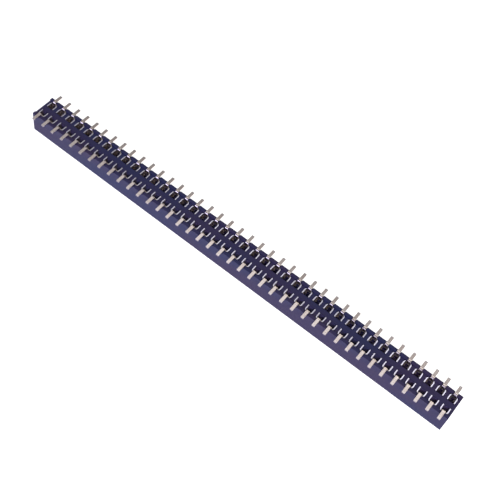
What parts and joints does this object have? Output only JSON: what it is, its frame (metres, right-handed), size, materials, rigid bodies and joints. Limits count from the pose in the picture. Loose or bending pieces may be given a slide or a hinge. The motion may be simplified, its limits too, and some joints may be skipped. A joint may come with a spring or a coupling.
{
  "type": "double-row female header",
  "caption": "Low-profile surface-mount socket strip with two rows of square pin openings, stamped spring contacts and bent soldering tails.",
  "frame": {"origin": "centre of the mating face, which carries the pin openings and lies at z = 0", "axes": "+X along the rows of sockets, +Y across the rows, +Z from the mating face towards the circuit-board side with the soldering tails"},
  "size_m": [0.1018, 0.0082, 0.0055],
  "materials": {
    "housing_plastic": "moulded glass-filled nylon, fine satin grain, dark indigo",
    "contact_metal": "stamped copper alloy strip with a thin pale gold flash"
  },
  "bodies": {
    "root": {"housing": "housing_plastic", "contact_pair_01": "contact_metal", "contact_pair_02": "contact_metal", "contact_pair_03": "contact_metal", "contact_pair_04": "contact_metal", "contact_pair_05": "contact_metal", "contact_pair_06": "contact_metal", "contact_pair_07": "contact_metal", "contact_pair_08": "contact_metal", "contact_pair_09": "contact_metal", "contact_pair_10": "contact_metal", "contact_pair_11": "contact_metal", "contact_pair_12": "contact_metal", "contact_pair_13": "contact_metal", "contact_pair_14": "contact_metal", "contact_pair_15": "contact_metal", "contact_pair_16": "contact_metal", "contact_pair_17": "contact_metal", "contact_pair_18": "contact_metal", "contact_pair_19": "contact_metal", "contact_pair_20": "contact_metal", "contact_pair_21": "contact_metal", "contact_pair_22": "contact_metal", "contact_pair_23": "contact_metal", "contact_pair_24": "contact_metal", "contact_pair_25": "contact_metal", "contact_pair_26": "contact_metal", "contact_pair_27": "contact_metal", "contact_pair_28": "contact_metal", "contact_pair_29": "contact_metal", "contact_pair_30": "contact_metal", "contact_pair_31": "contact_metal", "contact_pair_32": "contact_metal", "contact_pair_33": "contact_metal", "contact_pair_34": "contact_metal", "contact_pair_35": "contact_metal", "contact_pair_36": "contact_metal", "contact_pair_37": "contact_metal", "contact_pair_38": "contact_metal", "contact_pair_39": "contact_metal", "contact_pair_40": "contact_metal"}
  },
  "joints": []
}
